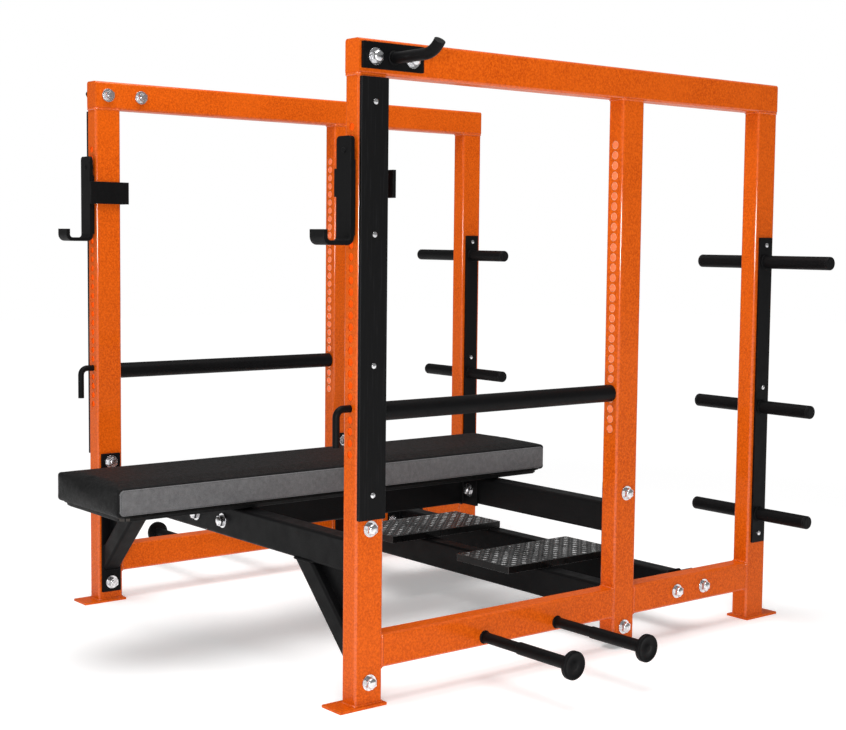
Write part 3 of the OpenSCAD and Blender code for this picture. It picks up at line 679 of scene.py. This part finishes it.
def graded(low, high, fine, coarse, band):
    """Coordinates from low to high, close together near both ends."""
    count = round(band / fine)
    inner = max(1, round((high - low - 2 * band) / coarse))
    left = [low + band * k / count for k in range(count)]
    centre = [low + band + (high - low - 2 * band) * k / inner for k in range(inner + 1)]
    right = [high - band * k / count for k in reversed(range(count))]
    return left + centre + right


def rounded_slab(low, high, radius):
    """A closed slab with round edges, as a grid that is finer along its edges."""
    data = bmesh.new()
    steps = [graded(low.x, high.x, 0.003, 0.009, 0.024),
             graded(low.y, high.y, 0.003, 0.009, 0.024),
             graded(low.z, high.z, 0.003, 0.0045, 0.015)]
    inner_low = low + Vector((radius,) * 3)
    inner_high = high - Vector((radius,) * 3)
    verts = {}

    def vert(key):
        if key not in verts:
            p = Vector(steps[axis][key[axis]] for axis in range(3))
            core = Vector(min(max(p[a], inner_low[a]), inner_high[a]) for a in range(3))
            away = p - core
            verts[key] = data.verts.new(core + away.normalized() * radius)
        return verts[key]

    for axis in range(3):
        u, v = (axis + 1) % 3, (axis + 2) % 3
        for end in (0, len(steps[axis]) - 1):
            for i in range(len(steps[u]) - 1):
                for j in range(len(steps[v]) - 1):
                    keys = []
                    for di, dj in ((0, 0), (1, 0), (1, 1), (0, 1)):
                        key = [0, 0, 0]
                        key[axis], key[u], key[v] = end, i + di, j + dj
                        keys.append(tuple(key))
                    face = [vert(key) for key in keys]
                    data.faces.new(face if end else face[::-1])
    return data


def panel_distance(p, low, high):
    """Distance in the side view from the side panel's seam, below zero inside it."""
    half_y = (high.y - low.y) / 2 - SEAM_INSET - SEAM_CORNER
    half_z = (high.z - low.z) / 2 - SEAM_INSET - SEAM_CORNER
    dy = abs(p.y - (low.y + high.y) / 2) - half_y
    dz = abs(p.z - (low.z + high.z) / 2) - half_z
    outside = math.hypot(max(dy, 0), max(dz, 0))
    return outside + min(max(dy, dz), 0) - SEAM_CORNER


def swell(pad, low, high):
    """Blows the cushion up as cloth. Its underside is held and its seams are held softly."""
    group = pad.vertex_groups.new(name="held")
    for v in pad.data.vertices:
        if v.co.z < low.z + 0.002:
            group.add([v.index], 1.0, "REPLACE")
        elif (abs(v.co.x) > high.x - PAD_EDGE_R
                and abs(panel_distance(v.co, low, high)) < 0.0025):
            group.add([v.index], 0.55, "REPLACE")
    cloth = pad.modifiers.new("swell", "CLOTH")
    cloth.settings.quality = 5
    cloth.settings.mass = 0.4
    cloth.settings.tension_stiffness = 25
    cloth.settings.compression_stiffness = 25
    cloth.settings.shear_stiffness = 15
    cloth.settings.bending_stiffness = 2.0
    cloth.settings.air_damping = 2.0
    cloth.settings.vertex_group_mass = group.name
    cloth.settings.use_pressure = True
    cloth.settings.uniform_pressure_force = 4.0
    cloth.settings.effector_weights.gravity = 0.0
    for number in range(1, 21):
        scene.frame_set(number)
    swollen = pad.evaluated_get(bpy.context.evaluated_depsgraph_get()).to_mesh()
    places = [v.co.copy() for v in swollen.vertices]
    pad.modifiers.remove(cloth)
    pad.vertex_groups.clear()
    scene.frame_set(1)
    for v, place in zip(pad.data.vertices, places):
        moved = place - v.co
        if moved.length > PAD_CAP:
            moved *= PAD_CAP / moved.length
        v.co += moved


def refine(piece):
    """Applies one level of subdivision."""
    smooth = piece.modifiers.new("smooth", "SUBSURF")
    smooth.levels = smooth.render_levels = 1
    fine = bpy.data.meshes.new_from_object(
        piece.evaluated_get(bpy.context.evaluated_depsgraph_get()))
    piece.modifiers.remove(smooth)
    piece.data = fine


def cushion_box():
    """The box that the cushion starts from, before it swells."""
    low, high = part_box("bench_pad")
    return (low + Vector((PAD_SHRINK, -PAD_GROW, 0)),
            high - Vector((PAD_SHRINK, -PAD_GROW, PAD_SHRINK)))


def make_pad():
    """The cushion: black vinyl top and ends, a grey panel sewn into each long side."""
    start_low, start_high = cushion_box()
    data = rounded_slab(start_low, start_high, PAD_EDGE_R)
    pad = add_piece("bench_cushion", data, "frame", "vinyl", black_vinyl, grey_vinyl)
    swell(pad, start_low, start_high)
    refine(pad)
    mesh = pad.data
    normals = [v.normal.copy() for v in mesh.vertices]
    for v, normal in zip(mesh.vertices, normals):
        if abs(v.co.x) < start_high.x - 2 * PAD_EDGE_R:
            continue
        if abs(normal.x) < 0.25:
            continue
        from_seam = panel_distance(v.co, start_low, start_high)
        dent = 0.0021 * math.exp(-(from_seam / 0.0017) ** 2)
        fullness = 0.0016 * min(1.0, max(0.0, -from_seam / 0.008)) ** 0.5
        v.co += normal * (fullness - dent)
    for face in mesh.polygons:
        on_side = abs(face.center.x) > start_high.x - 2 * PAD_EDGE_R
        inside = panel_distance(face.center, start_low, start_high) < 0
        face.material_index = 1 if on_side and inside and abs(face.normal.x) > 0.25 else 0
        face.use_smooth = True
    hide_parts("bench_pad")
    return pad


def on_surface(tree, point, side):
    """The place on the cushion's side that a point in the side view falls on."""
    origin = Vector((side * 0.5, point.y, point.z))
    hit, normal, _, _ = tree.ray_cast(origin, Vector((-side, 0, 0)))
    return hit, normal


def pad_seams(pad):
    """A thin welt in the seam round each side panel, and a row of stitches beside it."""
    low, high = cushion_box()
    centre = (low + high) / 2
    tree = BVHTree.FromObject(pad, bpy.context.evaluated_depsgraph_get())
    half_y = (high.y - low.y) / 2 - SEAM_INSET
    half_z = (high.z - low.z) / 2 - SEAM_INSET
    welt, stitches = bmesh.new(), bmesh.new()
    for side in (-1, 1):
        flat = Vector((0, centre.y, centre.z))
        loop = rounded_loop(flat, Y, Z, half_y, half_z, SEAM_CORNER, 0.003)
        placed = [on_surface(tree, p, side) for p in loop]
        points = [hit - normal * 0.0002 for hit, normal in placed]
        sweep(welt, points, [n for _, n in placed], lambda i: 0.0011, 6)
        inner = rounded_loop(flat, Y, Z, half_y - 0.0045, half_z - 0.0045,
                             SEAM_CORNER - 0.0045, 0.0058)
        for a, b in zip(inner, inner[1:] + inner[:1]):
            ends = [on_surface(tree, a.lerp(b, t), side) for t in (0.14, 0.32, 0.68, 0.86)]
            heights = (-0.0004, 0.0003, 0.0003, -0.0004)
            path = [hit + normal * h for (hit, normal), h in zip(ends, heights)]
            sweep(stitches, path, [n for _, n in ends], lambda i: 0.00042, 5,
                  closed=False, ends=True)
    add_piece("cushion_welts", welt, "frame", "vinyl", black_vinyl)
    add_piece("cushion_stitches", stitches, "frame", "vinyl", thread)


def pad_hem():
    """The vinyl that is drawn under the cushion and round the board, and its staples."""
    low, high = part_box("pad_board")
    thick = 0.0012
    lap = 0.034
    reach = 0.012
    flat = (low + high) / 2
    half_x = (high.x - low.x) / 2
    half_y = (high.y - low.y) / 2
    corner = 0.018
    outline = [(reach - 0.003, high.z - 0.0002), (0.0006, high.z - 0.0009),
               (0.0006, low.z + 0.001), (-0.0008, low.z - 0.0006), (-lap, low.z - 0.0006),
               (-lap, low.z - 0.0006 - thick), (0.0001, low.z - 0.0006 - thick),
               (0.0006 + thick, low.z - 0.0002), (0.0006 + thick, high.z - 0.0009 - thick),
               (reach - 0.003, high.z - 0.0002 - thick)]
    data = bmesh.new()
    rings = []
    for out, z in outline:
        loop = rounded_loop(Vector((flat.x, flat.y, z)), X, Y, half_x + min(out, 0),
                            half_y + min(out, 0), max(corner + min(out, 0), 0.002), 0.02)
        hub = Vector((flat.x, flat.y, z))
        grown = []
        for p in loop:
            away = Vector((max(abs(p.x - hub.x) - half_x + corner, 0) * (1 if p.x > hub.x else -1),
                           max(abs(p.y - hub.y) - half_y + corner, 0) * (1 if p.y > hub.y else -1),
                           0))
            grown.append(p + (away.normalized() * max(out, 0) if away.length else Vector()))
        rings.append(grown)
    counts = min(len(r) for r in rings)
    rings = [resample(r, counts) for r in rings]
    verts = [[data.verts.new(p) for p in r] for r in rings]
    for i in range(len(verts)):
        ring, following = verts[i], verts[(i + 1) % len(verts)]
        for k in range(counts):
            data.faces.new((ring[k], following[k],
                            following[(k + 1) % counts], ring[(k + 1) % counts]))
    bmesh.ops.recalc_face_normals(data, faces=data.faces)
    add_piece("cushion_hem", data, "frame", "vinyl", black_vinyl)
    staples = bmesh.new()
    row = rounded_loop(Vector((flat.x, flat.y, low.z - 0.0022)), X, Y,
                       half_x - 0.024, half_y - 0.024, 0.01, 0.028)
    for a, b in zip(row, row[1:] + row[:1]):
        along = (b - a).normalized()
        mid = a.lerp(b, 0.5)
        path = [mid - along * 0.0055 + Z * 0.0016, mid - along * 0.005,
                mid + along * 0.005, mid + along * 0.0055 + Z * 0.0016]
        sweep(staples, path, [Z] * 4, lambda i: 0.0006, 6, closed=False, ends=True)
    add_piece("hem_staples", staples, "frame", "black_coat", black_coat)


def resample(loop, count):
    """The same closed loop with count points at equal distances."""
    lengths = [0.0]
    for a, b in zip(loop, loop[1:] + loop[:1]):
        lengths.append(lengths[-1] + (b - a).length)
    points, at = [], 0
    for k in range(count):
        target = lengths[-1] * k / count
        while lengths[at + 1] < target:
            at += 1
        span = lengths[at + 1] - lengths[at] or 1.0
        points.append(loop[at].lerp(loop[(at + 1) % len(loop)], (target - lengths[at]) / span))
    return points


# ---- stage, lights and camera --------------------------------------------------------

def make_floor():
    data = bmesh.new()
    bmesh.ops.create_grid(data, x_segments=4, y_segments=4, size=14)
    mesh = bpy.data.meshes.new("floor")
    data.to_mesh(mesh)
    data.free()
    floor = bpy.data.objects.new("floor", mesh)
    mesh.materials.append(make_floor_paint())
    scene.collection.objects.link(floor)


def area_light(name, place, target, size, power):
    lamp = bpy.data.lights.new(name, "AREA")
    lamp.shape = "RECTANGLE"
    lamp.size, lamp.size_y = size
    lamp.energy = power
    holder = bpy.data.objects.new(name, lamp)
    holder.location = place
    holder.rotation_mode = "QUATERNION"
    holder.rotation_quaternion = (Vector(target) - Vector(place)).to_track_quat("-Z", "Y")
    scene.collection.objects.link(holder)


def make_lights():
    """A white room, a lamp overhead, one at the front left and a strip by the camera."""
    world = bpy.data.worlds.new("studio")
    world.use_nodes = True
    tree = world.node_tree
    backdrop = tree.nodes["Background"]
    backdrop.inputs["Color"].default_value = rgb(1.0, 1.0, 1.0)
    seen = tree.nodes.new("ShaderNodeLightPath").outputs["Is Camera Ray"]
    strength = tree.nodes.new("ShaderNodeMapRange")
    strength.inputs["To Min"].default_value = 0.26       # what lights the machine
    strength.inputs["To Max"].default_value = 1.0        # what the camera sees behind it
    tree.links.new(seen, strength.inputs["Value"])
    tree.links.new(strength.outputs["Result"], backdrop.inputs["Strength"])
    scene.world = world
    aim = (0, 0, 0.7)
    area_light("overhead", (0.4, -0.6, 4.2), aim, (3.5, 3.5), 190)
    area_light("front_left", (-1.6, -4.6, 2.4), aim, (2.4, 2.0), 25)
    area_light("by_camera", (3.5, -2.8, 1.05), (0, 0, 1.05), (1.8, 0.35), 80)


def make_camera():
    """The viewpoint: in front of the machine and to its right, a little above its middle."""
    azimuth, elevation, roll = (math.radians(a) for a in (50.817, 4.461, 0.636))
    back = Vector((math.sin(azimuth) * math.cos(elevation),
                   -math.cos(azimuth) * math.cos(elevation), math.sin(elevation)))
    right = Vector((math.cos(azimuth), math.sin(azimuth), 0))
    up = back.cross(right)
    tilted_right = math.cos(roll) * right + math.sin(roll) * up
    tilted_up = math.cos(roll) * up - math.sin(roll) * right
    turn = Matrix((tilted_right, tilted_up, back)).transposed().to_4x4()
    data = bpy.data.cameras.new("camera")
    data.lens = 63.925
    data.sensor_width = 36.0
    data.shift_x = -0.01348
    data.shift_y = -0.00839
    data.clip_end = 100.0
    camera = bpy.data.objects.new("camera", data)
    camera.matrix_world = Matrix.Translation((3.2033, -2.4438, 1.0165)) @ turn
    scene.collection.objects.link(camera)
    scene.camera = camera


make_camera()
make_floor()
make_lights()
scene.view_settings.view_transform = "Standard"
dress_cad_nodes()
for frame_side in ("left", "right"):
    side_frame_welds(frame_side)
    tread_pattern(frame_side)
cross_frame_welds()
bar_welds()
bolt_domes()
hole_liners()
peg_rims()
cushion = make_pad()
pad_seams(cushion)
pad_hem()
